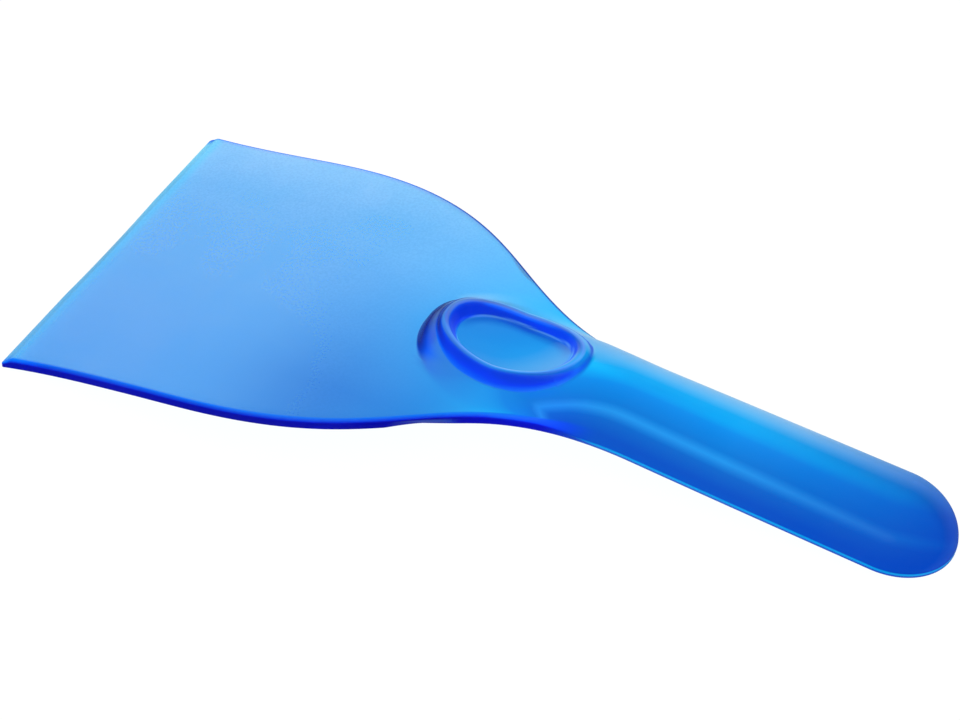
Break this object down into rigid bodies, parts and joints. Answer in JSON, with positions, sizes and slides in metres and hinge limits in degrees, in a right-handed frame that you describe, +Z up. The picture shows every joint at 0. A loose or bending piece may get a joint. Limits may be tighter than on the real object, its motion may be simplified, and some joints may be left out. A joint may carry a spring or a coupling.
{
  "type": "windshield ice scraper",
  "caption": "Hand ice scraper moulded in one piece: wide flat blade with a bevelled leading edge, oval thumb rest and an arched, open-backed handle set at a shallow angle to the blade.",
  "frame": {"origin": "centre of the footprint, on the table that the scraper lies on", "axes": "+X from the blade's leading edge towards the handle's end, +Y across the blade, +Z up"},
  "size_m": [0.2352, 0.0998, 0.0221],
  "materials": {
    "blue_plastic": "satin, translucent"
  },
  "bodies": {
    "root": {"scraper_moulding": "blue_plastic"}
  },
  "joints": []
}
